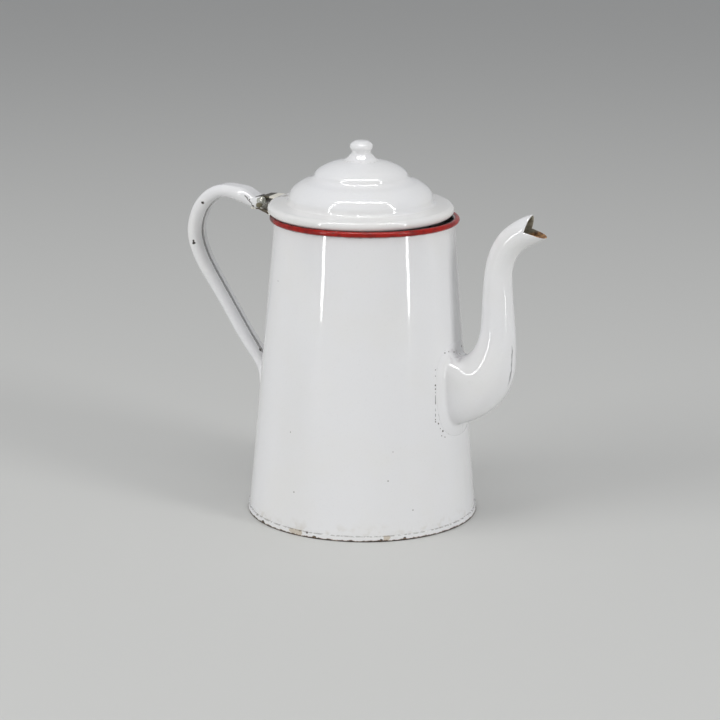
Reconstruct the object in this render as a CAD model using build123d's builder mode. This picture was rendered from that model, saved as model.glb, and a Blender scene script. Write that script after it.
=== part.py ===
from build123d import *
import math
import os

# Enamelled coffee pot with a hinged lid. Millimetres, +Z up.
# The origin is on the pot's axis at the table; the spout points to +X and the handle to -X.

# Body and base
base_radius = 64.2
rim_radius = 49.75
rim_height = 166.3
body_sheet = 1.0
bead_radius = 1.5
seam_height = 3.2
pan_sheet = 0.8
pan_rise = 3.6

# Lid
lid_radius = 51.5
lid_shift = 2.3
lid_sheet = 0.9
roll_radius = 2.7
lid_gap = 1.15
lid_cant = 1.6
lid_sag = 0.7
roll_turn = 250.0
dome_radius = 39.95
dome_sink = 0.5
lower_tier_height = 12.8
upper_tier_radius = 25.7
upper_tier_height = 11.35
crown_radius = 55.0
crown_edge = 15.3
knob_radius = 6.35
knob_neck = 5.2
knob_height = 10.9
knob_foot = 10.4
tenon_radius = 2.4

# Hinge
pin_radius = 1.0
pin_out = 7.36
pin_up = 6.5
pin_clearance = 0.05
pin_head = 1.6
leaf_sheet = 1.0
leaf_half_width = 5.7
side_clearance = 0.4

# Handle
handle_sheet = 1.0
handle_lobe = 3.5
handle_depth_top = 4.05
handle_depth_mid = 3.6
handle_depth_low = 2.85
handle_slot = 1.4
ear_length = 4.7
ear_radius = 3.2
ear_outer = 8.0

# Bracket under the handle's end
bracket_sheet = 1.2
bracket_half_width = 5.5
bracket_drop = 11.0

# Spout
root_height = 76.0
spout_sheet = 1.0
collar_width = 6.5
collar_sheet = 0.8
riser_radius = 8.45
root_half_height = 19.3
root_half_width = 16.0
mouth_half_width = 7.3
strainer_hole = 1.6
strainer_pitch = 5.4


def wall_radius(height):
    """Outer radius of the tapered wall at a height."""
    return base_radius - (base_radius - rim_radius) * height / rim_height


bead_centre = rim_radius + 0.8 * bead_radius
roll_z = rim_height + bead_radius + lid_gap + roll_radius
roll_r = lid_radius - roll_radius
pin_x = -(bead_centre + bead_radius + pin_out)
pin_z = rim_height + pin_up
ear_inner = leaf_half_width + side_clearance
root_x = wall_radius(root_height)
lid_plane = Plane(origin=(-lid_shift, 0, 0), x_dir=(1, 0, 0), z_dir=(0, -1, 0))
lid_axis = Axis((-lid_shift, 0, 0), (0, 0, 1))


# Solid of the pot's outer cone, used to trim what is fixed against the wall.
with BuildPart() as cone:
    with BuildSketch(Plane.XZ):
        with BuildLine():
            Polyline(
                (0, 0),
                (base_radius, 0),
                (rim_radius, rim_height),
                (0, rim_height),
                close=True,
            )
        make_face()
    revolve(axis=Axis.Z)


# Body: tapered wall, tight rolled rim, strainer holes behind the spout.
wall_foot = pan_sheet
neck_z = rim_height - bead_radius
with BuildPart() as body_shell:
    with BuildSketch(Plane.XZ):
        with BuildLine():
            arc_z = rim_height - 0.7
            inner_top = (wall_radius(arc_z) - body_sheet, arc_z)
            crest = (bead_centre, rim_height + bead_radius)
            under = (bead_centre, neck_z)
            Line((wall_radius(wall_foot) - body_sheet, wall_foot), inner_top)
            Spline(inner_top, crest, tangents=[(rim_radius - base_radius, rim_height), (1, 0)])
            ThreePointArc(crest, (bead_centre + bead_radius, rim_height), under)
            Line(under, (wall_radius(neck_z), neck_z))
            Line((wall_radius(neck_z), neck_z), (wall_radius(wall_foot), wall_foot))
            Line((wall_radius(wall_foot), wall_foot), (wall_radius(wall_foot) - body_sheet, wall_foot))
        make_face()
    revolve(axis=Axis.Z)
    with BuildSketch(Plane.YZ.offset(root_x - 12)):
        with Locations((0, root_height)):
            with HexLocations(strainer_pitch / 2, 5, 5):
                Circle(strainer_hole)
    extrude(amount=24, mode=Mode.SUBTRACT)
body_shell.part.label = "body_shell"


# Base pan: recessed disc with its edge folded up round the foot of the wall.
with BuildPart() as base_pan:
    with BuildSketch(Plane.XZ):
        with BuildLine():
            Polyline(
                (wall_radius(0) + pan_sheet, 0),
                (wall_radius(seam_height) + pan_sheet, seam_height),
                (wall_radius(seam_height), seam_height),
                (wall_radius(wall_foot), wall_foot),
                (wall_radius(wall_foot) - body_sheet, wall_foot),
                (wall_radius(pan_rise + 2.5) - body_sheet, pan_rise + 2.5),
                (wall_radius(pan_rise + 2.5) - body_sheet - pan_sheet, pan_rise + 2.5),
                (wall_radius(pan_rise) - body_sheet - pan_sheet, pan_rise),
                (0, pan_rise),
                (0, pan_rise - pan_sheet),
                (wall_radius(pan_rise) - body_sheet - 2 * pan_sheet - 0.6, pan_rise - pan_sheet),
                (wall_radius(0) - body_sheet - 2 * pan_sheet - 0.6, 0),
                close=True,
            )
        make_face()
    revolve(axis=Axis.Z)
    seam_edge = base_pan.edges().filter_by(GeomType.CIRCLE).group_by(SortBy.RADIUS)[-1]
    fillet(seam_edge, 0.35)
base_pan.part.label = "base_pan"


# Spout stations: distance out from the wall, height over the root's centre, tangent angle,
# half size in the plane of symmetry, half size across it.
spout_stations = [
    (-6.0, -0.8, 6, root_half_height * 1.02, root_half_width * 1.02),
    (0.8, 0.2, 9, root_half_height, root_half_width),
    (7.4, 2.4, 24, root_half_height * 0.94, root_half_width * 0.94),
    (13.0, 6.3, 42, root_half_height * 0.86, root_half_width * 0.91),
    (17.3, 11.7, 58, riser_radius * 1.76, riser_radius * 1.63),
    (19.9, 18.0, 70, riser_radius * 1.53, riser_radius * 1.48),
    (21.4, 24.6, 79, riser_radius * 1.325, riser_radius * 1.31),
    (22.15, 32.5, 87, riser_radius * 1.172, riser_radius * 1.165),
    (22.05, 42.0, 91.5, riser_radius * 1.071, riser_radius * 1.065),
    (21.65, 52.0, 92, riser_radius, riser_radius * 0.995),
    (21.5, 61.5, 89, riser_radius * 0.929, riser_radius * 0.925),
    (22.25, 70.6, 79, riser_radius * 0.878, riser_radius * 0.874),
    (24.5, 78.0, 64, riser_radius * 0.878, riser_radius * 0.874),
    (28.3, 83.9, 49, riser_radius * 0.902, riser_radius * 0.889),
    (33.3, 88.3, 36, riser_radius * 0.905, riser_radius * 0.876),
    (38.6, 91.4, 27, mouth_half_width * 1.05, mouth_half_width),
    (48.9, 95.6, 20, mouth_half_width * 0.93, mouth_half_width * 0.92),
]


def spout_plane(station):
    """Plane across the spout at one station."""
    tangent = Vector(1, 0, 0).rotate(Axis.Y, -station[2])
    place = (root_x + station[0], 0, root_height + station[1])
    return Plane(origin=place, x_dir=(0, 1, 0), z_dir=tangent)


def spout_solid(inset):
    """The curved spout as a solid, drawn smaller all round by an inset."""
    with BuildPart() as tube:
        for station in spout_stations:
            with BuildSketch(spout_plane(station)):
                Ellipse(station[4] - inset, station[3] - inset)
        loft()
    return tube.part


def collar_ring(width, depth):
    """Band lying on the wall round the spout's root."""
    with BuildPart() as band:
        with BuildSketch(Plane.YZ.offset(root_x - 14)):
            with Locations((0, root_height)):
                Ellipse(root_half_width + width, root_half_height + width)
        extrude(amount=14 + 8)
        with BuildSketch(Plane.XZ):
            with BuildLine():
                Polyline(
                    (0, 0),
                    (wall_radius(0) + depth, 0),
                    (wall_radius(rim_height) + depth, rim_height),
                    (0, rim_height),
                    close=True,
                )
            make_face()
        revolve(axis=Axis.Z, mode=Mode.INTERSECT)
    return band.part


# Whole spout, then its two stamped halves that meet in the plane of symmetry.
notch_x = root_x + 37.7
notch_z = root_height + 91.25
with BuildPart() as spout:
    add(spout_solid(0))
    add(collar_ring(collar_width, collar_sheet))
    add(spout_solid(spout_sheet), mode=Mode.SUBTRACT)
    add(cone.part, mode=Mode.SUBTRACT)
    with BuildSketch(Plane.XZ.offset(-20)):
        with BuildLine():
            Polyline(
                (notch_x, notch_z),
                (notch_x + 4.0, notch_z + 17),
                (notch_x + 30, notch_z + 17),
                (notch_x + 30, notch_z - 9.4),
                close=True,
            )
        make_face()
    extrude(amount=40, mode=Mode.SUBTRACT)

with BuildPart() as spout_left_half:
    add(spout.part)
    split(bisect_by=Plane.XZ, keep=Keep.BOTTOM)
spout_left_half.part.label = "spout_left_half"

with BuildPart() as spout_right_half:
    add(spout.part)
    split(bisect_by=Plane.XZ, keep=Keep.TOP)
spout_right_half.part.label = "spout_right_half"


# Lid: two tiers, sloping flange and rolled edge, one sheet thick. It is drawn level, then
# tilted about its rim's centre to the slightly crooked way it rests.
lid_tilt = Location((-lid_shift, 0, roll_z), (lid_cant, lid_sag, 0)) * Location((lid_shift, 0, -roll_z))
dome_z = roll_z + roll_radius - dome_sink
tier_z = dome_z + lower_tier_height + 1.25
crown_z = tier_z + upper_tier_height
flange_start = (dome_radius + 2.0, dome_z + 1.15)
to_roll = Vector(roll_r - flange_start[0], roll_z - flange_start[1])
roll_angle = math.degrees(math.asin(roll_radius / to_roll.length))
flange_fall = math.degrees(math.atan2(-to_roll.Y, to_roll.X)) - roll_angle
flange_way = Vector(1, 0).rotate(Axis.Z, -flange_fall)
flange_end = Vector(*flange_start) + flange_way * (to_roll.length**2 - roll_radius**2) ** 0.5


def inside_of(curve, share):
    """Point one lid sheet inside a drawn curve."""
    way = curve % share
    return curve @ share + Vector(way.Y, -way.X) * lid_sheet


with BuildPart() as lid_shell:
    with BuildSketch(lid_plane):
        with BuildLine():
            crown_drop = crown_radius - (crown_radius**2 - crown_edge**2) ** 0.5
            top = RadiusArc((0, crown_z), (crown_edge, crown_z - crown_drop), crown_radius)
            upper = Spline(
                top @ 1,
                (upper_tier_radius * 0.77, tier_z + upper_tier_height * 0.66),
                (upper_tier_radius * 0.885, tier_z + upper_tier_height * 0.52),
                (upper_tier_radius * 0.965, tier_z + upper_tier_height * 0.365),
                (upper_tier_radius, tier_z + upper_tier_height * 0.22),
                tangents=[top % 1, (0.25, -1)],
            )
            neck = Spline(
                upper @ 1,
                (upper_tier_radius + 1.0, tier_z + 0.95),
                (upper_tier_radius + 2.9, tier_z - 0.15),
                tangents=[upper % 1, (1, -0.42)],
            )
            lower = Spline(
                neck @ 1,
                (dome_radius * 0.793, dome_z + lower_tier_height),
                (dome_radius * 0.868, dome_z + lower_tier_height * 0.865),
                (dome_radius * 0.92, dome_z + lower_tier_height * 0.745),
                (dome_radius * 0.963, dome_z + lower_tier_height * 0.6),
                (dome_radius * 0.99, dome_z + lower_tier_height * 0.44),
                (dome_radius, dome_z + lower_tier_height * 0.26),
                tangents=[neck % 1, (0, -1)],
            )
            foot = Spline(
                lower @ 1,
                (dome_radius + 0.55, dome_z + 1.75),
                flange_start,
                tangents=[(0, -1), flange_way],
            )
            slope = Line(flange_start, flange_end)
            roll = CenterArc((roll_r, roll_z), roll_radius, 90 - flange_fall, -roll_turn)
            under_top = RadiusArc(inside_of(top, 0), inside_of(top, 1), crown_radius - lid_sheet)
            for curve in (upper, neck, lower, foot):
                shares = [step / 8 for step in range(9)]
                points = [inside_of(curve, share) for share in shares]
                Spline(*points, tangents=[curve % 0, curve % 1])
            Line(inside_of(slope, 0), inside_of(slope, 1))
            CenterArc((roll_r, roll_z), roll_radius - lid_sheet, 90 - flange_fall, -roll_turn)
            Line(roll @ 1, inside_of(roll, 1))
            Line(top @ 0, under_top @ 0)
        make_face()
    revolve(axis=lid_axis)

# Knob: foot that follows the crown, concave neck, flattened head, tenon clenched under the lid.
crown_centre = crown_z - crown_radius
foot_z = crown_centre + (crown_radius**2 - knob_foot**2) ** 0.5
tenon_foot = crown_z - lid_sheet - 1.0
with BuildPart() as lid_knob:
    with BuildSketch(lid_plane):
        with BuildLine():
            Line((0, tenon_foot), (tenon_radius + 1.2, tenon_foot))
            under_radius = crown_radius - lid_sheet
            under = (tenon_radius, crown_centre + (under_radius**2 - tenon_radius**2) ** 0.5)
            seat = (tenon_radius, crown_centre + (crown_radius**2 - tenon_radius**2) ** 0.5)
            clench_top = crown_centre + (under_radius**2 - (tenon_radius + 1.2) ** 2) ** 0.5
            Line((tenon_radius + 1.2, tenon_foot), (tenon_radius + 1.2, clench_top))
            RadiusArc((tenon_radius + 1.2, clench_top), under, -under_radius)
            Line(under, seat)
            RadiusArc(seat, (knob_foot, foot_z), crown_radius)
            flare = Spline(
                (knob_foot, foot_z),
                (knob_foot * 0.865, foot_z + 0.62),
                (knob_foot * 0.72, foot_z + 1.75),
                (knob_foot * 0.59, foot_z + 3.35),
                (knob_neck, foot_z + knob_height * 0.46),
                tangents=[(-1, 0.3), (0, 1)],
            )
            head = Spline(
                flare @ 1,
                (knob_radius * 0.94, foot_z + knob_height * 0.585),
                (knob_radius, foot_z + knob_height * 0.69),
                (knob_radius * 0.93, foot_z + knob_height * 0.83),
                (knob_radius * 0.66, foot_z + knob_height * 0.955),
                (0, foot_z + knob_height),
                tangents=[(0, 1), (-1, 0)],
            )
            Line(head @ 1, (0, tenon_foot))
        make_face()
    revolve(axis=lid_axis)

with BuildPart() as lid_bored:
    add(lid_shell.part)
    add(lid_knob.part, mode=Mode.SUBTRACT)
    with BuildSketch(Plane.XY.offset(roll_z - roll_radius - 1)):
        with Locations((-lid_shift - roll_r - roll_radius, 0)):
            Rectangle(2 * roll_radius, 2 * leaf_half_width)
    extrude(amount=2 * roll_radius + 2, mode=Mode.SUBTRACT)
    with BuildSketch(Plane.XY.offset(roll_z - roll_radius - 1)):
        with Locations((-lid_shift - roll_r + 0.5, 0)):
            Rectangle(2 * roll_radius + 3, 2 * leaf_half_width)
    extrude(amount=roll_radius + 1 + 1.1, mode=Mode.SUBTRACT)

with BuildPart() as lid_seated:
    add(lid_bored.part.moved(lid_tilt))
lid_seated.part.label = "lid_shell"

with BuildPart() as knob_seated:
    add(lid_knob.part.moved(lid_tilt))
knob_seated.part.label = "lid_knob"


# Hinge leaf: strap under the flange that comes out through the rolled edge and curls round the pin.
curl_inner = pin_radius + pin_clearance
curl_outer = curl_inner + leaf_sheet
strap_end = -lid_shift - dome_radius - 1.6
strap_top = roll_z + roll_radius - 0.15
curl_place = (lid_tilt.inverse() * Location((pin_x, 0, pin_z))).position
with BuildPart() as strap:
    with BuildSketch(Plane.XZ):
        with BuildLine():
            Polyline(
                (curl_place.X, curl_place.Z + curl_outer - 0.15),
                (curl_place.X + curl_outer + 0.6, strap_top),
                (-lid_shift - roll_r, strap_top),
                (strap_end, dome_z + 0.9),
                (strap_end, dome_z + 0.9 - lid_sheet - leaf_sheet),
                (-lid_shift - roll_r + 1.0, strap_top - leaf_sheet),
                (curl_place.X + curl_outer + 0.3, strap_top - leaf_sheet),
                (curl_place.X, curl_place.Z),
                close=True,
            )
        make_face()
    extrude(amount=leaf_half_width - 0.1, both=True)

with BuildPart() as hinge_leaf:
    add(strap.part.moved(lid_tilt))
    with BuildSketch(Plane.XZ):
        with Locations((pin_x, pin_z)):
            Circle(curl_outer)
    extrude(amount=leaf_half_width, both=True)
    with BuildSketch(Plane.XZ):
        with Locations((pin_x, pin_z)):
            Circle(curl_inner)
    extrude(amount=leaf_half_width + 1, both=True, mode=Mode.SUBTRACT)
    add(lid_seated.part, mode=Mode.SUBTRACT)
hinge_leaf.part.label = "hinge_leaf"


# Hinge pin with peened heads.
with BuildPart() as hinge_pin:
    with BuildSketch(Plane(origin=(pin_x, 0, pin_z), x_dir=(1, 0, 0), z_dir=(0, 0, 1))):
        with BuildLine():
            head_face = ear_outer - 0.35
            Polyline(
                (0, -head_face - 0.75),
                (pin_head * 0.6, -head_face - 0.75),
                (pin_head, -head_face - 0.3),
                (pin_head, -head_face),
                (pin_radius, -head_face),
                (pin_radius, head_face),
                (pin_head, head_face),
                (pin_head, head_face + 0.3),
                (pin_head * 0.6, head_face + 0.75),
                (0, head_face + 0.75),
                close=True,
            )
        make_face()
    revolve(axis=Axis((pin_x, 0, pin_z), (0, 1, 0)))
hinge_pin.part.label = "hinge_pin"


# Handle stations: distance outside the pin, height over the pin, half depth of the section.
handle_stations = [
    (-3.2, -1.2, handle_depth_top * 0.77),
    (1.7, -1.5, handle_depth_top * 0.79),
    (6.2, -2.1, handle_depth_top * 0.8),
    (9.9, -0.75, handle_depth_top * 0.91),
    (13.4, 0.75, handle_depth_top),
    (19.8, 2.2, handle_depth_mid * 1.02),
    (26.4, 2.5, handle_depth_mid),
    (32.8, 0.5, handle_depth_mid),
    (37.6, -3.1, handle_depth_mid),
    (41.4, -7.8, handle_depth_mid),
    (44.0, -13.8, handle_depth_mid),
    (45.3, -20.2, handle_depth_mid),
    (44.8, -26.8, handle_depth_mid),
    (42.6, -33.6, handle_depth_mid * 0.98),
    (39.1, -40.8, handle_depth_mid * 0.96),
    (34.8, -47.6, handle_depth_low * 1.14),
    (25.9, -61.0, handle_depth_low * 1.06),
    (8.5, -87.2, handle_depth_low),
    (0.5, -99.2, handle_depth_low),
    (-9.5, -114.2, handle_depth_low),
]
with BuildLine() as handle_line:
    handle_path = Spline(*[(pin_x - out, 0, pin_z + up) for out, up, depth in handle_stations])


def handle_plane(station):
    """Plane across the handle at one station, its Y towards the inner face."""
    place = Vector(pin_x - station[0], 0, pin_z + station[1])
    share = handle_path.param_at_point(place)
    return Plane(origin=place, x_dir=(0, 1, 0), z_dir=handle_path % share)


def handle_solid(inset, stations):
    """Flattened round-sided bar along the handle, drawn smaller by an inset."""
    with BuildPart() as bar:
        for station in stations:
            spread = (ear_outer - handle_lobe - station[2]) * min(1, max(0, 1.4 - station[0] / 7))
            with BuildSketch(handle_plane(station)):
                SlotCenterToCenter(2 * (handle_lobe + spread), 2 * (station[2] - inset))
        loft()
    return bar.part


def seam_solid(stations):
    """Narrow bar that opens the seam along the inner face."""
    with BuildPart() as seam:
        for station in stations:
            with BuildSketch(handle_plane(station)):
                with Locations((0, station[2])):
                    Rectangle(handle_slot, 2.6 * handle_sheet)
        loft()
    return seam.part


# Handle: rolled strip with an open seam on its inner face; its end makes two ears for the pin.
with BuildPart() as handle:
    add(handle_solid(0, handle_stations))
    add(handle_solid(handle_sheet, handle_stations[3:]), mode=Mode.SUBTRACT)
    add(seam_solid(handle_stations[3:]), mode=Mode.SUBTRACT)
    add(cone.part, mode=Mode.SUBTRACT)
    with BuildSketch(Plane.XZ):
        with Locations((pin_x + 5, pin_z)):
            Rectangle(12, 20)
        with Locations((pin_x - 1.0, pin_z - 1.2)):
            Circle(ear_radius, mode=Mode.SUBTRACT)
        with Locations((pin_x, pin_z)):
            Circle(pin_radius)
    extrude(amount=12, both=True, mode=Mode.SUBTRACT)
    with BuildSketch(Plane.XZ):
        with Locations((pin_x - ear_length + 10, pin_z)):
            Rectangle(20, 24)
    extrude(amount=ear_inner, both=True, mode=Mode.SUBTRACT)
    add(hinge_pin.part, mode=Mode.SUBTRACT)
handle.part.label = "handle"


# Bracket: strap under the handle's end, over the rim bead and down the wall.
foot_low = rim_height - 2.8 - bracket_drop
with BuildPart() as rim_bracket:
    with BuildSketch(Plane.XZ):
        with BuildLine():
            Polyline(
                (pin_x - 7.6, pin_z - 4.4),
                (pin_x - 2.6, pin_z - 4.3),
                (-bead_centre - bead_radius - 2.0, rim_height - 1.0),
                (-bead_centre - bead_radius - 0.45, rim_height - 1.7),
                (-bead_centre - 0.25, rim_height - 2.9),
                (-bead_centre + 3.0, rim_height - 2.9),
                (-bead_centre + 3.0, foot_low),
                (-wall_radius(foot_low) - bracket_sheet, foot_low),
                (-wall_radius(foot_low + 8.7) - bracket_sheet, foot_low + 8.7),
                (-bead_centre - bead_radius - 1.15, rim_height - 3.6),
                (-bead_centre - bead_radius - 2.85, rim_height - 2.4),
                (pin_x - 3.0, pin_z - 4.7 - bracket_sheet),
                (pin_x - 7.6, pin_z - 4.7 - bracket_sheet),
                close=True,
            )
        make_face()
    extrude(amount=bracket_half_width, both=True)
    add(handle.part, mode=Mode.SUBTRACT)
    add(cone.part, mode=Mode.SUBTRACT)
rim_bracket.part.label = "rim_bracket"


made = [
    body_shell,
    base_pan,
    spout_left_half,
    spout_right_half,
    handle,
    rim_bracket,
    hinge_pin,
    lid_seated,
    knob_seated,
    hinge_leaf,
]
os.makedirs("parts", exist_ok=True)
for piece in made:
    export_step(piece.part, "parts/" + piece.part.label + ".step")
    print(piece.part.label, round(piece.part.volume, 1), piece.part.is_valid, len(piece.part.solids()))
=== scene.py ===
import math
import bpy
import numpy as np
from mathutils import Matrix, Vector


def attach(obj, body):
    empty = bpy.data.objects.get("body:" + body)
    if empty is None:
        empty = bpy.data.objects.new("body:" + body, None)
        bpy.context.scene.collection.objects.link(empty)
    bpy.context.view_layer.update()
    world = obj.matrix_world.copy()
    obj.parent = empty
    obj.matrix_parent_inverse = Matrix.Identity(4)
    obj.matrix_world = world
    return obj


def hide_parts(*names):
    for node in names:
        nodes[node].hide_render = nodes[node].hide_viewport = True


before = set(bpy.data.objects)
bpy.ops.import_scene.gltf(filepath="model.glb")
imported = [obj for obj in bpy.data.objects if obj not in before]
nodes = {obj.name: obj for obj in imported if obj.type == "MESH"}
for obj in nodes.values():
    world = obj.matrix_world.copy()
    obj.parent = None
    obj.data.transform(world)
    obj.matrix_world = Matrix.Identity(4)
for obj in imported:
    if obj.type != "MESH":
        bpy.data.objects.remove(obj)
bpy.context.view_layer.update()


# Photograph's view. The pot stands on the origin with its spout turned towards the camera.
view_turn = math.radians(24.0)
view_distance = 1.1296
view_height = 0.3723
view_pitch = 0.248795
view_yaw = -0.001687
view_roll = 0.008218
lens_pixels = 2077.0
frame_pixels = 720.0

# Stage
floor_reach = 14.0
floor_color = (0.60, 0.60, 0.58)
floor_roughness = 0.7
world_color = (0.95, 0.965, 1.0)
world_strength = 0.42
pot_middle = (0.0, 0.0, 0.09)
# Name, place, target, size and power. These only make the enamel's highlights.
strip_lights = (
    ("strip_left", (-0.92, -0.78, 0.78), (0.0, 0.0, 0.78), (0.055, 1.48), 5.2),
    ("strip_right", (0.97, -0.72, 0.78), (0.0, 0.0, 0.78), (0.055, 1.48), 5.2),
    ("strip_top", (0.0, -0.42, 1.30), (0.0, 0.0, 0.17), (1.3, 0.10), 18.0),
)
# Name, place, size and power. These light the enamel and don't show in it.
panel_lights = (
    ("panel_left", (-1.6, -0.8, 0.9), (1.2, 1.2), 15.8),
    ("panel_right", (1.5, -1.15, 0.8), (0.5, 0.8), 13.6),
    ("panel_top", (0.0, -0.2, 2.2), (1.8, 1.8), 11.2),
)


def seen(x, y, z):
    """Point given across, away from and above the camera's own ground line, in the pot's frame."""
    c, s = math.cos(view_turn), math.sin(view_turn)
    return Vector((c * x - s * y, s * x + c * y, z))


def make_camera():
    """Camera at the photograph's place, height, tilt and focal length."""
    data = bpy.data.cameras.new("camera")
    camera = bpy.data.objects.new("camera", data)
    bpy.context.scene.collection.objects.link(camera)
    data.sensor_width = 36.0
    data.lens = data.sensor_width * lens_pixels / frame_pixels
    data.clip_start = 0.05
    data.clip_end = 50.0
    level = math.cos(view_pitch)
    ahead = Vector((math.sin(view_yaw) * level, math.cos(view_yaw) * level, -math.sin(view_pitch)))
    side = Vector((math.cos(view_yaw), -math.sin(view_yaw), 0.0))
    up = side.cross(ahead)
    side_rolled = math.cos(view_roll) * side + math.sin(view_roll) * up
    up_rolled = math.cos(view_roll) * up - math.sin(view_roll) * side
    axes = [seen(*way) for way in (side_rolled, up_rolled, -ahead)]
    turn = Matrix(axes).transposed().to_4x4()
    camera.matrix_world = Matrix.Translation(seen(0.0, -view_distance, view_height)) @ turn
    bpy.context.scene.camera = camera


def make_floor():
    """Large pale floor at the pot's foot, in one even colour."""
    material = bpy.data.materials.new("floor_paint")
    material.use_nodes = True
    shader = material.node_tree.nodes["Principled BSDF"]
    shader.inputs["Base Color"].default_value = (*floor_color, 1.0)
    shader.inputs["Roughness"].default_value = floor_roughness
    mesh = bpy.data.meshes.new("floor")
    corners = [(x * floor_reach, y * floor_reach, 0) for x, y in ((-1, -1), (1, -1), (1, 1), (-1, 1))]
    mesh.from_pydata(corners, [], [(0, 1, 2, 3)])
    mesh.materials.append(material)
    floor = bpy.data.objects.new("floor", mesh)
    bpy.context.scene.collection.objects.link(floor)


def make_world():
    """Soft even light from all round."""
    world = bpy.data.worlds.new("studio")
    bpy.context.scene.world = world
    world.use_nodes = True
    background = world.node_tree.nodes["Background"]
    background.inputs["Color"].default_value = (*world_color, 1.0)
    background.inputs["Strength"].default_value = world_strength


def area_light(name, place, target, size, power):
    """Rectangular lamp at a place, turned to a target, both in the camera's ground frame."""
    data = bpy.data.lights.new(name, "AREA")
    data.shape = "RECTANGLE"
    data.size, data.size_y = size
    data.energy = power
    lamp = bpy.data.objects.new(name, data)
    bpy.context.scene.collection.objects.link(lamp)
    lamp.location = seen(*place)
    way = seen(*target) - lamp.location
    lamp.rotation_euler = way.to_track_quat("-Z", "Y").to_euler()
    return lamp


make_camera()
make_floor()
make_world()
bpy.context.scene.view_settings.view_transform = "Standard"
for name, place, target, size, power in strip_lights:
    area_light(name, place, target, size, power).visible_diffuse = False
for name, place, size, power in panel_lights:
    area_light(name, place, pot_middle, size, power).visible_glossy = False


# Materials. Lengths inside them are millimetres, in the pot's frame.
enamel_white = (0.800, 0.800, 0.806)
enamel_cream = (0.77, 0.745, 0.655)
enamel_gloss = 0.065
enamel_index = 1.52
iron_dark = (0.030, 0.024, 0.021)
rust_brown = (0.20, 0.095, 0.045)
worn_grey = (0.34, 0.34, 0.33)
speck_brown = (0.13, 0.11, 0.10)


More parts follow.
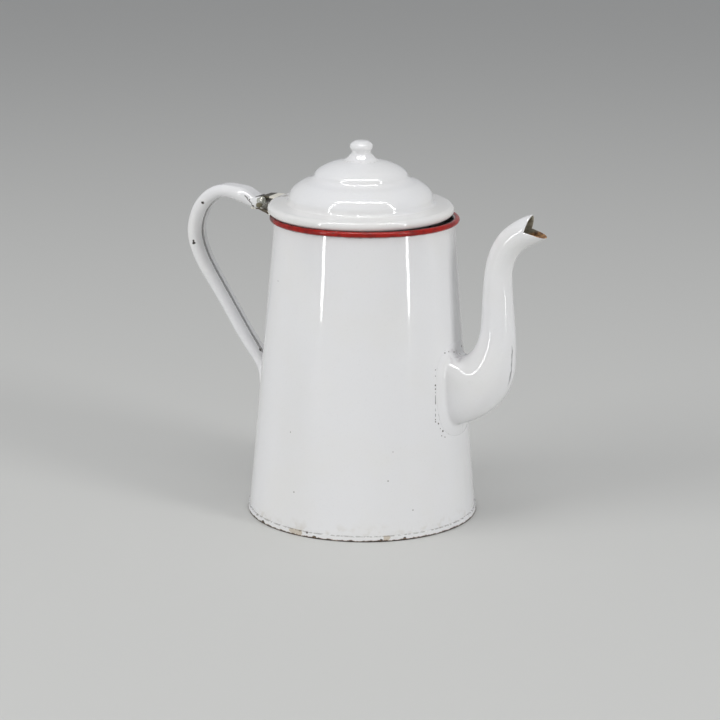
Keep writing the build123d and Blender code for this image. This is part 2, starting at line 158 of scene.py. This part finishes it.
class Paint:
    """A material whose pattern is built from the piece's own coordinates."""

    def __init__(self, name):
        self.material = bpy.data.materials.new(name)
        self.material.use_nodes = True
        self.nodes = self.material.node_tree.nodes
        self.links = self.material.node_tree.links
        self.shader = self.nodes["Principled BSDF"]
        metres = self.nodes.new("ShaderNodeTexCoord").outputs["Object"]
        scale = self.nodes.new("ShaderNodeVectorMath")
        scale.operation = "SCALE"
        self.links.new(metres, scale.inputs[0])
        scale.inputs["Scale"].default_value = 1000.0
        self.place = scale.outputs[0]
        apart = self.nodes.new("ShaderNodeSeparateXYZ")
        self.links.new(self.place, apart.inputs[0])
        self.x, self.y, self.z = apart.outputs

    def put(self, value, socket):
        """Link a socket, or set a plain value."""
        if isinstance(value, bpy.types.NodeSocket):
            self.links.new(value, socket)
        elif isinstance(value, tuple) and socket.type == "RGBA":
            socket.default_value = (*value, 1.0)
        else:
            socket.default_value = value

    def calc(self, kind, a, b=0.0, clamp=False):
        """One arithmetic step."""
        node = self.nodes.new("ShaderNodeMath")
        node.operation = kind
        node.use_clamp = clamp
        self.put(a, node.inputs[0])
        self.put(b, node.inputs[1])
        return node.outputs[0]

    def plus(self, a, b, clamp=False):
        """Sum of two values."""
        return self.calc("ADD", a, b, clamp)

    def less(self, a, b, clamp=False):
        """First value less the second."""
        return self.calc("SUBTRACT", a, b, clamp)

    def times(self, first, *others):
        """Product of masks and numbers."""
        for other in others:
            first = self.calc("MULTIPLY", first, other)
        return first

    def size(self, value):
        """Value without its sign."""
        return self.calc("ABSOLUTE", value)

    def step(self, value, start, end):
        """Soft step from 0 at start to 1 at end."""
        node = self.nodes.new("ShaderNodeMapRange")
        node.interpolation_type = "SMOOTHSTEP"
        self.put(value, node.inputs["Value"])
        self.put(start, node.inputs["From Min"])
        self.put(end, node.inputs["From Max"])
        return node.outputs[0]

    def band(self, value, start, full, last_full, end):
        """Soft band: 0 outside start and end, 1 between full and last_full."""
        return self.times(self.step(value, start, full), self.step(value, end, last_full))

    def from_axis(self, shift=0.0):
        """Distance from an upright axis that lies a shift behind the pot's own."""
        x = self.plus(self.x, shift)
        return self.calc("SQRT", self.plus(self.times(x, x), self.times(self.y, self.y)))

    def away(self, point):
        """Distance from a point."""
        node = self.nodes.new("ShaderNodeVectorMath")
        node.operation = "DISTANCE"
        self.links.new(self.place, node.inputs[0])
        node.inputs[1].default_value = point
        return node.outputs["Value"]

    def scaled(self, shift, scale):
        """The piece's own coordinates, scaled and then shifted."""
        move = self.nodes.new("ShaderNodeMapping")
        self.links.new(self.place, move.inputs["Vector"])
        move.inputs["Location"].default_value = shift
        move.inputs["Scale"].default_value = scale
        return move.outputs[0]

    def noise(self, wave, detail=2.0, seed=0.0, stretch=(1.0, 1.0, 1.0)):
        """Cloudy pattern from 0 to 1 with a given wavelength."""
        place = self.scaled((seed, seed * 1.7, seed * 0.6), tuple(1.0 / (wave * part) for part in stretch))
        node = self.nodes.new("ShaderNodeTexNoise")
        self.links.new(place, node.inputs["Vector"])
        node.inputs["Scale"].default_value = 1.0
        node.inputs["Detail"].default_value = detail
        return node.outputs[0]

    def patches(self, start, end, wave, detail, seed):
        """Mask of cloudy patches: the pattern's values from start to end."""
        return self.step(self.noise(wave, detail, seed), start, end)

    def mix(self, share, a, b):
        """Blend of two colours."""
        node = self.nodes.new("ShaderNodeMix")
        node.data_type = "RGBA"
        self.put(share, node.inputs[0])
        self.put(a, node.inputs[6])
        self.put(b, node.inputs[7])
        return node.outputs[2]

    def tint(self, color, other, share, mask):
        """Colour with a share of another one laid over it where a mask is 1."""
        return self.mix(self.times(mask, share), color, other)

    def spots(self, marks, rough, grow=0.0):
        """Mask of ragged spots, each given as x, y, z and radius."""
        total = 0.0
        for x, y, z, radius in marks:
            reach = self.plus(self.away((x, y, z)), self.times(rough, radius * 1.5))
            edge = radius * 1.75 + grow
            soft = min(0.12, radius * 0.3)
            total = self.calc("MAXIMUM", self.step(reach, edge + soft, edge - soft), total)
        return total

    def specks(self, cell, size, share, seed):
        """Sparse tiny round specks."""
        cells = self.nodes.new("ShaderNodeTexVoronoi")
        self.links.new(self.scaled((seed,) * 3, (1.0 / cell,) * 3), cells.inputs["Vector"])
        cells.inputs["Scale"].default_value = 1.0
        small = self.step(cells.outputs["Distance"], size / cell, size * 0.6 / cell)
        pick = self.nodes.new("ShaderNodeSeparateColor")
        self.links.new(cells.outputs["Color"], pick.inputs[0])
        return self.times(small, self.calc("LESS_THAN", pick.outputs[0], share))

    def named_value(self, name):
        """Value kept at the mesh's points under a name."""
        node = self.nodes.new("ShaderNodeAttribute")
        node.attribute_name = name
        return node.outputs["Fac"]

    def finish(self, color, roughness, height, metallic=0.0):
        """Set the colour, the gloss and the relief."""
        self.put(color, self.shader.inputs["Base Color"])
        self.put(roughness, self.shader.inputs["Roughness"])
        self.put(metallic, self.shader.inputs["Metallic"])
        self.shader.inputs["IOR"].default_value = enamel_index
        bump = self.nodes.new("ShaderNodeBump")
        bump.inputs["Distance"].default_value = 0.001
        self.put(height, bump.inputs["Height"])
        self.links.new(bump.outputs[0], self.shader.inputs["Normal"])
        return self.material


def enamel_ground(paint):
    """Off-white enamel's colour and waviness before any wear."""
    cloud = paint.patches(0.36, 0.72, 34.0, 3.0, 4.0)
    color = paint.tint(enamel_white, enamel_cream, 0.16, cloud)
    fine = paint.patches(0.55, 0.80, 1.1, 2.0, 9.0)
    color = paint.tint(color, worn_grey, 0.05, fine)
    wave = paint.times(paint.noise(8.0, 0.5, 2.0), 0.034)
    peel = paint.times(paint.noise(1.6, 1.0, 3.0), 0.0022)
    return color, paint.plus(wave, peel)


def enamel(name, marks=(), speck_share=0.05):
    """Enamelled sheet with tiny specks, and chips down to the iron, each with a stained edge."""
    paint = Paint(name)
    color, height = enamel_ground(paint)
    gloss = enamel_gloss
    color = paint.tint(color, speck_brown, 0.8, paint.specks(9.0, 0.24, speck_share, 5.0))
    if marks:
        rough = paint.noise(1.3, 3.0, 1.0)
        chip = paint.spots(marks, rough)
        color = paint.tint(color, rust_brown, 0.32, paint.spots(marks, rough, 0.10))
        color = paint.mix(chip, color, iron_dark)
        height = paint.less(height, paint.times(chip, 0.12))
        gloss = paint.plus(paint.times(chip, 0.5), enamel_gloss)
    return paint, color, gloss, height


def body_paint():
    """Body: white enamel, brick red on the rolled rim, darkened towards the hinge by painted shade."""
    marks = [
        (-17.9, -56.5, 55.8, 0.26), (-13.8, -60.6, 23.3, 0.28), (36.9, -48.9, 33.2, 0.26),
        (38.4, -46.0, 49.0, 0.2), (48.2, -40.3, 15.8, 0.26), (-33.2, -40.6, 135.2, 0.28),
        (54.7, -21.7, 60.7, 0.45), (56.3, -18.8, 55.9, 0.5), (57.9, -13.8, 53.6, 0.6),
        (57.0, -17.5, 52.2, 0.35), (55.4, -20.6, 57.6, 0.3), (58.6, -11.5, 52.6, 0.4),
        (57.6, -15.6, 54.6, 0.3), (56.0, -19.9, 53.5, 0.25), (52.2, -21.2, 90.4, 0.30),
        (52.4, -21.5, 87.1, 0.26), (52.7, -22.0, 82.0, 0.42), (52.8, -22.1, 80.0, 0.40),
        (53.2, -22.7, 72.4, 0.26), (53.7, -23.6, 63.3, 0.3), (53.8, -23.7, 62.0, 0.40),
        (-52.5, -4.0, 88.0, 0.5), (-57.0, -5.5, 60.5, 0.6), (30.0, 53.0, 61.0, 0.4),
        (-20.0, 55.0, 101.0, 0.3), (-41.0, 43.0, 33.0, 0.5),
    ]
    paint, color, gloss, height = enamel("body_enamel", marks)

    # Fine broken crack beside the spout's collar.
    slant = paint.plus(paint.y, paint.times(paint.less(90.4, paint.z), 0.088))
    crack = paint.step(paint.size(paint.plus(slant, 21.2)), 0.26, 0.12)
    crack = paint.times(crack, paint.calc("GREATER_THAN", paint.x, 40.0),
                        paint.band(paint.z, 64.0, 64.8, 78.0, 78.8),
                        paint.patches(0.40, 0.50, 2.6, 2.0, 6.0))
    color = paint.tint(color, (0.05, 0.045, 0.04), 0.85, crack)

    grime = paint.times(paint.step(paint.z, 11.0, 3.0), paint.patches(0.48, 0.75, 5.0, 3.0, 7.0))
    color = paint.tint(color, (0.52, 0.47, 0.38), 0.35, grime)

    # Red rim, with a wandering lower edge and a thin dark line of painted shadow under it.
    wandering = paint.plus(paint.z, paint.times(paint.noise(3.0, 3.0, 11.0), 1.1))
    high = paint.step(wandering, 165.15, 165.35)
    outer = paint.step(paint.from_axis(), 49.3, 49.8)
    rim = paint.times(high, outer)
    dull = paint.patches(0.40, 0.66, 4.0, 4.0, 13.0)
    red = paint.mix(dull, (0.37, 0.013, 0.008), (0.23, 0.010, 0.008))
    rubbed = paint.step(paint.noise(1.4, 4.0, 17.0, (1.6, 1.6, 0.7)), 0.60, 0.72)
    red = paint.tint(red, (0.055, 0.020, 0.014), 0.75, rubbed)
    # Painted shade: the red rim darkens towards the hinge.
    hinge_shade = paint.step(paint.plus(paint.x, paint.times(dull, 6.0)), -31.0, -45.0)
    red = paint.tint(red, (0.045, 0.022, 0.015), 0.88, hinge_shade)
    color = paint.mix(rim, color, red)
    gloss = paint.plus(gloss, paint.times(rim, 0.12))
    height = paint.less(height, paint.times(rim, rubbed, 0.05))
    paint.put(paint.less(0.5, paint.times(rim, 0.28)), paint.shader.inputs["Specular IOR Level"])
    # Painted shadow: a thin dark line on the wall just under the rim.
    under = paint.step(wandering, 164.6, 165.15)
    line = paint.times(paint.less(under, high, True), outer)
    color = paint.tint(color, (0.16, 0.10, 0.08), 0.5, line)
    return paint.finish(color, gloss, height)


def base_paint():
    """Base pan: dark chipped bottom edge, grey broken seam line, tan stains."""
    marks = [
        (-51.5, -39.2, 3.6, 0.55), (-42.4, -49.0, 2.7, 0.6), (-8.4, -64.2, 3.2, 0.6),
        (-3.9, -64.6, 2.8, 0.6), (0.4, -65.0, 0.7, 1.1), (35.5, -54.3, 0.6, 1.2),
        (46.0, -45.9, 0.5, 1.2), (-36.0, -54.0, 0.6, 1.3), (62.0, 19.0, 0.8, 1.2),
        (12.0, 64.0, 0.6, 1.4), (-60.0, 24.0, 0.8, 1.0),
    ]
    stained = [(-13.0, -63.3, 3.0, 2.2), (-9.0, -64.0, 1.6, 1.8), (38.2, -52.3, 2.4, 1.7), (20.0, 62.0, 2.2, 2.2)]
    paint, color, gloss, height = enamel("base_enamel", marks)
    ragged = paint.noise(2.2, 4.0, 21.0)
    color = paint.tint(color, (0.42, 0.31, 0.16), 0.55, paint.spots(stained, ragged, 0.4))
    seam = paint.times(paint.step(paint.z, 2.65, 2.95), paint.step(ragged, 0.40, 0.56))
    color = paint.tint(color, (0.28, 0.27, 0.25), 0.62, seam)
    edge = paint.plus(paint.z, paint.times(ragged, 1.9))
    bare = paint.step(edge, 1.75, 1.45)
    color = paint.tint(color, (0.30, 0.21, 0.13), 0.7, paint.step(edge, 2.15, 1.70))
    color = paint.mix(bare, color, (0.042, 0.027, 0.020))
    gloss = paint.plus(gloss, paint.times(bare, 0.5), True)
    height = paint.less(height, paint.times(bare, 0.10))
    return paint.finish(color, gloss, height)


def spout_paint():
    """Spout: enamel with a worn seam, chips at the root, khaki and rust inside the mouth."""
    marks = [
        (54.4, -13.2, 98.3, 0.40), (55.4, -9.8, 98.5, 0.35), (55.0, -11.4, 98.9, 0.2),
        (56.2, -4.5, 97.1, 0.45), (55.6, -6.4, 98.6, 0.28), (57.7, 0.7, 95.0, 0.4),
        (56.6, -1.4, 97.4, 0.35), (90.2, 0.3, 86.0, 0.25), (55.6, 8.0, 97.6, 0.6),
        (53.0, 22.0, 66.0, 0.5),
    ]
    blisters = [(69.8, -14.4, 84.1, 0.8), (62.6, -15.2, 80.1, 0.7), (74.0, -12.5, 92.0, 0.6)]
    paint, color, gloss, height = enamel("spout_enamel", marks)
    height = paint.plus(height, paint.times(paint.spots(blisters, 0.5, 0.2), 0.06))
    corner = paint.step(paint.away((57.6, -5.5, 95.0)), 7.5, 1.5)
    cloud = paint.patches(0.35, 0.65, 3.0, 3.0, 23.0)
    color = paint.tint(color, (0.36, 0.31, 0.34), 0.55, paint.times(corner, cloud))

    # Seam between the halves: a low ridge, and a worn streak beside it at the bend.
    ragged = paint.noise(1.6, 4.0, 25.0, (1.0, 1.0, 2.2))
    beside = paint.plus(paint.size(paint.plus(paint.y, 3.3)), paint.times(ragged, 1.7))
    streak = paint.times(paint.step(beside, 1.5, 1.1), paint.step(paint.x, 84.0, 86.0),
                         paint.band(paint.z, 80.0, 86.0, 101.0, 105.0))
    color = paint.tint(color, (0.14, 0.14, 0.15), 0.7, streak)
    ridge = paint.step(paint.size(paint.y), 1.1, 0.0)
    height = paint.plus(height, paint.times(ridge, 0.05))

    # Thin dark line round the collar's edge.
    brim = paint.plus(paint.named_value("brim"), paint.times(ragged, 0.5))
    line = paint.times(paint.step(brim, 1.27, 1.33), paint.step(paint.y, -6.0, -16.0))
    color = paint.tint(color, (0.16, 0.15, 0.15), 0.75, line)

    # Bare metal inside the mouth and over the lower lip.
    ring = paint.noise(2.4, 4.0, 27.0)
    lip = paint.times(paint.step(paint.x, 97.5, 103.5), 0.45)
    depth = paint.plus(paint.plus(paint.named_value("inner"), lip), paint.times(ring, 0.5))
    bare = paint.step(depth, 0.78, 0.90)
    low = paint.step(paint.less(paint.z, paint.times(paint.x, 0.36)), 131.6, 129.2)
    khaki = paint.mix(paint.step(ring, 0.35, 0.7), (0.40, 0.375, 0.29), (0.22, 0.20, 0.15))
    rusty = paint.mix(paint.step(ring, 0.38, 0.62), (0.46, 0.235, 0.085), (0.15, 0.065, 0.028))
    color = paint.mix(bare, color, paint.mix(low, khaki, rusty))
    gloss = paint.plus(gloss, paint.times(bare, 0.45))
    gloss = paint.plus(gloss, paint.times(streak, 0.35), True)
    height = paint.plus(height, paint.times(bare, ring, 0.15))
    return paint.finish(color, gloss, height)


def facing_mask(paint, point, start, end):
    """Soft mask of the surface that faces a point, from the normal's reach towards it."""
    normal = paint.nodes.new("ShaderNodeTexCoord").outputs["Normal"]
    toward = paint.nodes.new("ShaderNodeVectorMath")
    toward.operation = "SUBTRACT"
    toward.inputs[0].default_value = point
    paint.links.new(paint.place, toward.inputs[1])
    dot = paint.nodes.new("ShaderNodeVectorMath")
    dot.operation = "DOT_PRODUCT"
    paint.links.new(normal, dot.inputs[0])
    paint.links.new(toward.outputs[0], dot.inputs[1])
    return paint.step(dot.outputs["Value"], start, end)


def handle_paint():
    """Handle: enamel, brown along the open seam of its inner face, and painted shade between its ears."""
    marks = [
        (-97.5, -6.9, 168.1, 0.85), (-103.4, -7.0, 144.3, 0.8), (-103.7, -7.0, 145.6, 0.6),
        (-65.5, -6.9, 168.7, 0.7), (-67.6, -7.0, 172.2, 0.3), (-64.1, -1.6, 84.6, 0.9),
        (-58.0, -6.0, 63.0, 0.7), (-58.5, 6.0, 66.0, 0.6), (-101.0, 6.8, 132.0, 0.5),
        (-88.0, -6.6, 112.0, 0.3), (-84.0, 6.5, 176.0, 0.4),
    ]
    paint, color, gloss, height = enamel("handle_enamel", marks)

    # Crooked crack down the near side, just behind the ear.
    crack_way = (0.647, -0.763)
    right = paint.plus(paint.x, 70.5)
    up = paint.less(paint.z, 174.6)
    along = paint.plus(paint.times(right, crack_way[0]), paint.times(up, crack_way[1]))
    across = paint.less(paint.times(up, crack_way[0]), paint.times(right, crack_way[1]))
    bend = paint.times(paint.less(paint.noise(2.2, 3.0, 35.0), 0.5), 3.0)
    crack = paint.times(paint.step(paint.size(paint.plus(across, bend)), 0.38, 0.16),
                        paint.band(along, -0.5, 0.6, 7.4, 8.6), paint.calc("LESS_THAN", paint.y, 0.0))
    color = paint.tint(color, (0.06, 0.05, 0.045), 0.8, crack)

    # Open seam of the inner face.
    ragged = paint.noise(2.0, 3.0, 31.0)
    seam = paint.times(paint.step(paint.plus(paint.size(paint.y), ragged), 2.0, 1.1),
                       facing_mask(paint, (-72.0, 0.0, 128.0), 2.0, 6.0))
    color = paint.tint(color, (0.085, 0.055, 0.038), 0.9, seam)
    gloss = paint.plus(gloss, paint.times(seam, 0.4), True)

    # Stains at the foot, round the pin's head and under it, and painted shade in the slot between the ears.
    foot = paint.step(paint.away((-60.5, 0.0, 66.0)), 9.0, 5.0)
    color = paint.tint(color, (0.33, 0.27, 0.20), 0.5, paint.times(foot, paint.step(ragged, 0.42, 0.66)))
    ear = paint.step(paint.away((-59.8, -8.0, 172.8)), 3.4, 2.6)
    color = paint.tint(color, (0.26, 0.27, 0.20), 0.8, paint.times(ear, paint.step(ragged, 0.35, 0.5)))
    bare = paint.step(paint.plus(paint.away((-61.2, -7.4, 169.0)), ragged), 3.1, 2.4)
    color = paint.mix(bare, color, (0.19, 0.17, 0.105))
    # Painted shade: dark brown in the slot between the ears.
    between_ears_shade = paint.times(paint.step(paint.size(paint.y), 6.2, 5.8), paint.step(paint.z, 150.0, 155.0),
                       paint.step(paint.plus(paint.x, ragged), -65.0, -63.4))
    color = paint.tint(color, (0.055, 0.040, 0.028), 0.88, between_ears_shade)
    return paint.finish(color, gloss, height)


def lid_paint():
    """Lid: enamel, a little creamy on the flange and stained round the hinge's leaf."""
    marks = [
        (-44.0, -9.5, 174.6, 0.5), (-52.5, -8.0, 173.2, 0.8), (-52.0, 8.5, 173.6, 0.9),
        (30.0, -39.0, 171.5, 0.4), (12.0, 48.5, 173.0, 0.6), (-30.0, -38.6, 172.2, 0.35),
        (24.0, -8.0, 191.0, 0.3),
    ]
    paint, color, gloss, height = enamel("lid_enamel", marks)
    flange = paint.times(paint.step(paint.z, 178.5, 175.0), paint.step(paint.from_axis(), 37.5, 41.0))
    color = paint.tint(color, enamel_cream, 0.18, flange)
    stain = paint.times(paint.step(paint.away((-52.0, 0.0, 174.0)), 8.5, 6.0),
                        paint.patches(0.42, 0.62, 2.4, 3.0, 33.0))
    color = paint.tint(color, (0.20, 0.16, 0.09), 0.6, stain)
    return paint.finish(color, gloss, height)


def knob_paint():
    """Knob: enamel, a faint grey line where its foot meets the crown."""
    paint, color, gloss, height = enamel("knob_enamel", (), 0.06)
    line = paint.times(paint.step(paint.from_axis(2.0), 9.3, 10.1), paint.patches(0.42, 0.60, 2.0, 3.0, 41.0))
    color = paint.tint(color, (0.40, 0.39, 0.36), 0.35, line)
    return paint.finish(color, gloss, height)


def iron_paint(name, light, dark, enamel_left, gloss, metal, enamelled_past=None):
    """Darkened iron with rust, and enamel still on it in places, or all over past a line across it."""
    paint = Paint(name)
    cloud = paint.noise(2.6, 3.0, 51.0)
    color = paint.mix(paint.step(cloud, 0.30, 0.70), light, dark)
    color = paint.tint(color, rust_brown, 0.45, paint.patches(0.50, 0.74, 1.6, 4.0, 53.0))
    left = paint.patches(0.98 - enamel_left, 1.03 - enamel_left, 5.5, 3.0, 57.0)
    if enamelled_past is not None:
        past = paint.step(paint.plus(paint.x, cloud), enamelled_past - 0.3, enamelled_past + 0.3)
        left = paint.calc("MAXIMUM", left, past)
    color = paint.mix(left, color, enamel_cream)
    bright = paint.times(paint.less(1.0, left), metal)
    shine = paint.plus(paint.times(cloud, 0.25), gloss)
    height = paint.plus(paint.times(cloud, 0.04), paint.times(left, 0.10))
    return paint.finish(color, shine, height, bright)


# Spout. Lengths are millimetres until the mesh is written.
base_radius = 64.2
rim_radius = 49.75
rim_height = 166.3
root_height = 76.0
root_half_height = 19.3
root_half_width = 15.6
riser_radius = 8.45
mouth_half_width = 7.3
spout_sheet = 1.0
rows_along = 600
rows_around = 144
seat_lift = 0.75
fold_lift = 2.3
fold_reach = 1.7
fold_height = 0.66
lip_rows = 3.0
lip_bead = 0.45
# Reach out from the root along the wall, height off the wall, and how near to the collar's edge.
collar_rings = (
    (6.9, -0.35, 1.0), (6.7, 0.04, 1.0), (6.3, 0.14, 0.9), (5.5, 0.30, 0.2), (4.4, 0.46, 0.0), (3.0, 0.60, 0.0),
)
# The beak's notch: its corner out from the root and above it, and the slopes of its two cuts.
notch_out, notch_up = 37.7, 91.25
upper_cut = 4.0 / 17.0
lower_cut = 9.4 / 30.0
lower_cut_share = 0.95


def wall_radius(height):
    """Outer radius of the tapered wall at a height."""
    return base_radius - (base_radius - rim_radius) * height / rim_height


root_x = wall_radius(root_height)

# Distance out, height, tangent angle, half size in the plane of symmetry, half size across, squareness.
spout_stations = [
    (-6.0, -0.8, 6, root_half_height * 1.02, root_half_width * 1.02, 3.3),
    (0.8, 0.2, 9, root_half_height, root_half_width, 3.2),
    (7.4, 2.4, 24, root_half_height * 0.94, root_half_width * 0.965, 2.75),
    (13.0, 6.3, 42, root_half_height * 0.86, root_half_width * 0.93, 2.35),
    (17.3, 11.7, 58, riser_radius * 1.76, riser_radius * 1.63, 2.05),
    (19.9, 18.0, 70, riser_radius * 1.53, riser_radius * 1.48, 2.0),
    (21.4, 24.6, 79, riser_radius * 1.325, riser_radius * 1.31, 2.0),
    (22.15, 32.5, 87, riser_radius * 1.172, riser_radius * 1.165, 2.0),
    (22.05, 42.0, 91.5, riser_radius * 1.071, riser_radius * 1.065, 2.0),
    (21.65, 52.0, 92, riser_radius, riser_radius * 0.995, 2.0),
    (21.5, 61.5, 89, riser_radius * 0.929, riser_radius * 0.925, 2.0),
    (22.25, 70.6, 79, riser_radius * 0.878, riser_radius * 0.874, 2.0),
    (24.5, 78.0, 64, riser_radius * 0.878, riser_radius * 0.874, 2.0),
    (28.3, 83.9, 49, riser_radius * 0.902, riser_radius * 0.889, 2.0),
    (33.3, 88.3, 36, riser_radius * 0.905, riser_radius * 0.876, 2.0),
    (38.6, 91.4, 27, mouth_half_width * 1.05, mouth_half_width, 2.0),
    (48.9, 95.6, 20, mouth_half_width * 0.93, mouth_half_width * 0.92, 2.0),
]


def smooth_rows(rows, count):
    """Rows resampled evenly along a smooth curve through them."""
    rows = np.array(rows, float)
    gaps = np.hypot(*np.diff(rows[:, :2], axis=0).T)
    at = np.concatenate([[0], np.cumsum(gaps)])
    slope = np.gradient(rows, at, axis=0)
    want = np.linspace(0, at[-1], count)
    k = np.clip(np.searchsorted(at, want, "right") - 1, 0, len(at) - 2)
    step = (at[k + 1] - at[k])[:, None]
    t = ((want - at[k])[:, None]) / step
    return ((2 * t**3 - 3 * t**2 + 1) * rows[k] + (t**3 - 2 * t**2 + t) * step * slope[k]
            + (3 * t**2 - 2 * t**3) * rows[k + 1] + (t**3 - t**2) * step * slope[k + 1])


def spout_surface(inset):
    """Grid of points on the spout, along and around, drawn smaller by an inset."""
    rows = smooth_rows(spout_stations, rows_along)
    angle = np.radians(rows[:, 2])[:, None]
    turn = np.linspace(0, 2 * np.pi, rows_around, endpoint=False)[None, :]
    power = 2.0 / rows[:, 5][:, None]
    across = (rows[:, 4][:, None] - inset) * np.sign(np.cos(turn)) * np.abs(np.cos(turn)) ** power
    high = (rows[:, 3][:, None] - inset) * np.sign(np.sin(turn)) * np.abs(np.sin(turn)) ** power
    x = root_x + rows[:, 0][:, None] - np.sin(angle) * high
    z = root_height + rows[:, 1][:, None] + np.cos(angle) * high
    return np.stack([x, across, z], axis=2)


def crossing(values, level):
    """Fractional index where each column first rises past a level."""
    above = values > level
    first = np.clip(np.argmax(above, axis=0), 1, None)
    cols = np.arange(values.shape[1])
    low, high = values[first - 1, cols], values[first, cols]
    return first - 1 + np.clip((level - low) / (high - low), 0, 1)


def at_rows(grid, index):
    """Points of a grid at fractional row numbers, one row number for each column."""
    index = np.clip(index, 0, grid.shape[0] - 1.001)
    k = index.astype(int)
    t = (index - k)[:, None]
    cols = np.arange(grid.shape[1])
    return grid[k, cols] * (1 - t) + grid[k + 1, cols] * t


def on_wall(point, lift):
    """Points moved square to the axis onto the wall, standing off it by a lift."""
    angle = np.arctan2(point[:, 1], point[:, 0])
    radius = wall_radius(point[:, 2]) + lift
    return np.stack([radius * np.cos(angle), radius * np.sin(angle), point[:, 2]], axis=1)


def along_wall(point, reach, lift):
    """Points carried outward from the spout's root over the wall."""
    radius = wall_radius(point[:, 2])
    side = radius * np.arctan2(point[:, 1], point[:, 0])
    up = point[:, 2] - root_height
    way = np.stack([side / root_half_width**2, up / root_half_height**2], axis=1)
    way /= np.linalg.norm(way, axis=1)[:, None]
    side = side + reach * way[:, 0]
    high = point[:, 2] + reach * way[:, 1]
    radius = wall_radius(high)
    angle = side / radius
    return np.stack([(radius + lift) * np.cos(angle), (radius + lift) * np.sin(angle), high], axis=1)


def mesh_piece(name, rings, body, material, marks):
    """Smooth open piece made from closed rings of points, with named values at the points."""
    count = len(rings[0])
    points = np.concatenate(rings) * 0.001
    faces = []
    for row in range(len(rings) - 1):
        for k in range(count):
            a, b = row * count + k, row * count + (k + 1) % count
            faces.append((a, b, b + count, a + count))
    mesh = bpy.data.meshes.new(name)
    mesh.from_pydata([tuple(p) for p in points], [], faces)
    mesh.shade_smooth()
    for key, values in marks.items():
        layer = mesh.attributes.new(key, "FLOAT", "POINT")
        layer.data.foreach_set("value", np.concatenate(values).astype(np.float32))
    mesh.materials.append(material)
    piece = bpy.data.objects.new(name, mesh)
    bpy.context.scene.collection.objects.link(piece)
    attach(piece, body)
    return piece


def make_spout():
    """Spout with a soft flange on the wall and a rounded, notched lip."""
    outer = spout_surface(0.0)
    inner = spout_surface(spout_sheet)
    off_wall = np.hypot(outer[:, :, 0], outer[:, :, 1]) - wall_radius(outer[:, :, 2])
    root = crossing(off_wall, seat_lift)
    lifted = crossing(off_wall, fold_lift)
    dx = outer[:, :, 0] - (root_x + notch_out)
    dz = outer[:, :, 2] - (root_height + notch_up)
    past_upper = dx - dz * upper_cut
    past_lower = (dz + dx * lower_cut) * lower_cut_share
    end = crossing(np.minimum(past_upper, past_lower), 0.0)
    lift_point = at_rows(outer, lifted)
    seat = on_wall(at_rows(outer, root), seat_lift)
    spread = along_wall(seat, fold_reach, fold_height)
    rings, brim, inside = [], [], []

    def ring(points, brim_value=0.0, inside_value=0.0):
        rings.append(points)
        brim.append(np.full(rows_around, brim_value))
        inside.append(np.full(rows_around, inside_value))

    # Collar, then the fold up from it, then the outer face to just before the lip.
    for reach, lift, near_edge in collar_rings:
        ring(along_wall(seat, reach, lift), near_edge)
    for share in np.linspace(0, 1, 9):
        ring((1 - share) ** 2 * spread + 2 * share * (1 - share) * seat + share**2 * lift_point)
    for share in np.linspace(0, 1, 90)[1:]:
        ring(at_rows(outer, lifted + (end - lip_rows - lifted) * share))

    # Rounded lip, then back down the inner face.
    tip = at_rows(outer, end)
    thick = at_rows(inner, end) - tip
    ahead = tip - at_rows(outer, end - lip_rows)
    ahead /= np.linalg.norm(ahead, axis=1)[:, None]
    for turn in np.radians([0, 36, 72, 108, 144, 180]):
        through = 0.5 - 0.5 * math.cos(turn)
        ring(tip + thick * through + ahead * lip_bead * (math.sin(turn) - 1.0), 0.0, through)
    for share in np.linspace(0, 1, 60)[1:]:
        ring(at_rows(inner, (end - lip_rows) * (1 - share) + root * share), 0.0, 1.0)

    spout = mesh_piece("spout", rings, "pot", spout_paint(), {"brim": brim, "inner": inside})
    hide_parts("spout_left_half", "spout_right_half")


make_spout()
paints = {
    "body_shell": body_paint(),
    "base_pan": base_paint(),
    "handle": handle_paint(),
    "lid_shell": lid_paint(),
    "lid_knob": knob_paint(),
    "rim_bracket": iron_paint("bracket_iron", (0.10, 0.085, 0.055), (0.045, 0.033, 0.022), 0.56, 0.30, 0.25),
    "hinge_pin": iron_paint("pin_steel", (0.50, 0.50, 0.46), (0.24, 0.24, 0.20), 0.0, 0.25, 0.9),
    "hinge_leaf": iron_paint("leaf_iron", (0.085, 0.080, 0.050), (0.022, 0.019, 0.013), 0.22, 0.30, 0.5, -55.6),
}
for name, paint in paints.items():
    nodes[name].data.materials.clear()
    nodes[name].data.materials.append(paint)
